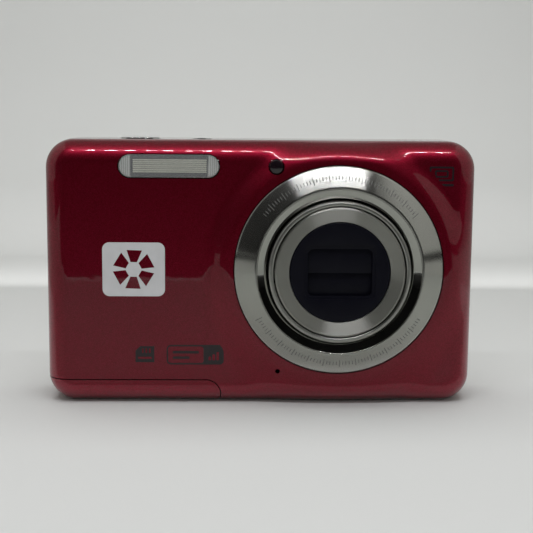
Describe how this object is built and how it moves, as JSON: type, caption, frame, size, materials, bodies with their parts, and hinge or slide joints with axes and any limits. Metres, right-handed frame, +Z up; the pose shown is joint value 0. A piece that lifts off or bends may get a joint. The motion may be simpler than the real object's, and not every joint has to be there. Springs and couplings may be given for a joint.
{
  "type": "compact digital camera",
  "caption": "Pocket digital camera with a telescoping zoom lens, sliding lens barrier, sprung buttons, built-in flash, rear display and a hinged battery door.",
  "frame": {"origin": "Centre of the bounding box across and front to back, on the surface that the camera stands on.", "axes": "+X is to the right seen from in front of the lens and runs along the camera's length; -Y is the way the lens looks; +Z is up."},
  "size_m": [0.0914, 0.023, 0.0568],
  "materials": {
    "red_paint": "deep red metallic lacquer under a glossy clear coat",
    "trim_metal": "lathe-turned satin metal with engraved marks and a bright inner bevel",
    "barrel_metal": "fine circular brushed satin metal",
    "bright_chrome": "polished chrome plate",
    "button_plastic": "silver lacquered plastic",
    "black_plastic": "matt black moulded plastic",
    "lens_glass": "coated optical glass",
    "display_glass": "glossy black display window",
    "display_panel": "grey display module",
    "clear_plastic": "clear ribbed flash window",
    "mirror_foil": "bright reflector foil",
    "lamp_plastic": "glossy dark lamp lens",
    "sleeve_plastic": "dark shrink sleeve",
    "steel": "plain pressed steel",
    "brass_metal": "turned brass",
    "board_resin": "green circuit board",
    "card_plastic": "blue memory card",
    "amber_plastic": "amber moulded plastic"
  },
  "bodies": {
    "root": {"front_shell": "red_paint", "rear_shell": "red_paint", "lens_trim_ring": "trim_metal", "flash_window": "clear_plastic", "flash_reflector": "mirror_foil", "flash_tube": "lens_glass", "flash_capacitor": "sleeve_plastic", "af_lamp_lens": "lamp_plastic", "chassis_plate": "steel", "lens_housing": "black_plastic", "zoom_motor": "steel", "image_sensor": "lens_glass", "sensor_board": "board_resin", "main_board": "board_resin", "top_board": "board_resin", "button_board": "board_resin", "battery": "sleeve_plastic", "battery_holder": "black_plastic", "battery_contacts": "brass_metal", "memory_card": "card_plastic", "card_slot": "steel", "door_hinge_pin": "steel", "door_spring": "steel", "lcd_glass": "display_glass", "lcd_panel": "display_panel", "shutter_switch": "black_plastic", "power_switch": "black_plastic", "strap_bar": "bright_chrome", "usb_port": "steel", "tripod_bush": "brass_metal", "speaker": "black_plastic", "status_led": "amber_plastic", "case_screw_1": "steel", "case_screw_2": "steel", "case_screw_3": "steel"},
    "outer_barrel": {"outer_barrel": "barrel_metal"},
    "inner_barrel": {"inner_barrel": "barrel_metal", "lens_front_plate": "black_plastic", "front_lens": "lens_glass"},
    "barrier_upper": {"barrier_blade_upper": "black_plastic"},
    "barrier_lower": {"barrier_blade_lower": "black_plastic"},
    "zoom_ring": {"zoom_ring": "black_plastic"},
    "zoom_pinion": {"zoom_pinion": "black_plastic"},
    "zoom_lens": {"zoom_lens": "lens_glass"},
    "focus_carriage": {"focus_carriage": "black_plastic", "focus_lens": "lens_glass"},
    "door_hinge_plate": {"door_hinge_plate": "steel"},
    "battery_door": {"battery_door": "red_paint"},
    "battery_latch": {"battery_latch": "amber_plastic"},
    "shutter_button": {"shutter_button": "bright_chrome"},
    "power_button": {"power_button": "bright_chrome"},
    "zoom_rocker": {"zoom_rocker": "button_plastic"},
    "record_button": {"record_button": "button_plastic"},
    "play_button": {"play_button": "button_plastic"},
    "menu_button": {"menu_button": "button_plastic"},
    "delete_button": {"delete_button": "button_plastic"},
    "nav_pivot_plate": {"nav_pivot_plate": "steel"},
    "nav_ring": {"nav_ring": "button_plastic"},
    "set_button": {"set_button": "button_plastic"}
  },
  "joints": [
    {"name": "outer_barrel_slide", "type": "slide", "parent": "root", "child": "outer_barrel", "axis": [0, -1, 0], "range_m": [0, 0.0095]},
    {"name": "inner_barrel_slide", "type": "slide", "parent": "outer_barrel", "child": "inner_barrel", "axis": [0, -1, 0], "range_m": [0, 0.0085]},
    {"name": "zoom_lens_slide", "type": "slide", "parent": "root", "child": "zoom_lens", "axis": [0, -1, 0], "range_m": [0, 0.0022]},
    {"name": "zoom_ring_turn", "type": "hinge", "parent": "root", "child": "zoom_ring", "pos_m": [0.01645, -0.00145, 0.0293], "axis": [0, -1, 0], "range_deg": [0, 55]},
    {"name": "zoom_pinion_turn", "type": "hinge", "parent": "root", "child": "zoom_pinion", "pos_m": [0.00174, 0.00355, 0.04401], "axis": [0, -1, 0], "range_deg": [-262.9, 0]},
    {"name": "barrier_upper_slide", "type": "slide", "parent": "inner_barrel", "child": "barrier_upper", "axis": [0, 0, 1], "range_m": [0, 0.0053]},
    {"name": "barrier_lower_slide", "type": "slide", "parent": "inner_barrel", "child": "barrier_lower", "axis": [0, 0, -1], "range_m": [0, 0.0053]},
    {"name": "focus_slide", "type": "slide", "parent": "root", "child": "focus_carriage", "axis": [0, -1, 0], "range_m": [0, 0.0015]},
    {"name": "door_swing", "type": "hinge", "parent": "root", "child": "door_hinge_plate", "pos_m": [-0.0117, 0.00235, 0.002], "axis": [0, -1, 0], "range_deg": [0, 90]},
    {"name": "door_slide", "type": "slide", "parent": "door_hinge_plate", "child": "battery_door", "axis": [-1, 0, 0], "range_m": [0, 0.0016]},
    {"name": "battery_latch_slide", "type": "slide", "parent": "root", "child": "battery_latch", "axis": [0, 1, 0], "range_m": [0, 0.0018], "stiffness_N_per_m": 60},
    {"name": "shutter_press", "type": "slide", "parent": "root", "child": "shutter_button", "axis": [0, 0, -1], "range_m": [0, 0.0008], "stiffness_N_per_m": 400},
    {"name": "power_press", "type": "slide", "parent": "root", "child": "power_button", "axis": [0, 0, -1], "range_m": [0, 0.0005], "stiffness_N_per_m": 400},
    {"name": "zoom_rocker_tilt", "type": "hinge", "parent": "root", "child": "zoom_rocker", "pos_m": [-0.031, 0.00995, 0.0463], "axis": [0, 0, 1], "range_deg": [-4, 4], "stiffness_Nm_per_rad": 0.02},
    {"name": "record_press", "type": "slide", "parent": "root", "child": "record_button", "axis": [0, -1, 0], "range_m": [0, 0.0004], "stiffness_N_per_m": 400},
    {"name": "play_press", "type": "slide", "parent": "root", "child": "play_button", "axis": [0, -1, 0], "range_m": [0, 0.0004], "stiffness_N_per_m": 400},
    {"name": "menu_press", "type": "slide", "parent": "root", "child": "menu_button", "axis": [0, -1, 0], "range_m": [0, 0.0004], "stiffness_N_per_m": 400},
    {"name": "delete_press", "type": "slide", "parent": "root", "child": "delete_button", "axis": [0, -1, 0], "range_m": [0, 0.0004], "stiffness_N_per_m": 400},
    {"name": "nav_tilt_up_down", "type": "hinge", "parent": "root", "child": "nav_pivot_plate", "pos_m": [-0.031, 0.00915, 0.025], "axis": [1, 0, 0], "range_deg": [-2.5, 2.5], "stiffness_Nm_per_rad": 0.02},
    {"name": "nav_tilt_left_right", "type": "hinge", "parent": "nav_pivot_plate", "child": "nav_ring", "pos_m": [-0.031, 0.00915, 0.025], "axis": [0, 0, 1], "range_deg": [-2.5, 2.5], "stiffness_Nm_per_rad": 0.02},
    {"name": "set_press", "type": "slide", "parent": "root", "child": "set_button", "axis": [0, -1, 0], "range_m": [0, 0.0004], "stiffness_N_per_m": 400}
  ],
  "couplings": [
    {"joint": "outer_barrel_slide", "follows": "zoom_ring_turn", "m_per_rad": 0.00989},
    {"joint": "inner_barrel_slide", "follows": "zoom_ring_turn", "m_per_rad": 0.00885},
    {"joint": "zoom_lens_slide", "follows": "zoom_ring_turn", "m_per_rad": 0.00229},
    {"joint": "zoom_pinion_turn", "follows": "zoom_ring_turn", "ratio": -4.7778},
    {"joint": "barrier_lower_slide", "follows": "barrier_upper_slide", "ratio": 1}
  ]
}
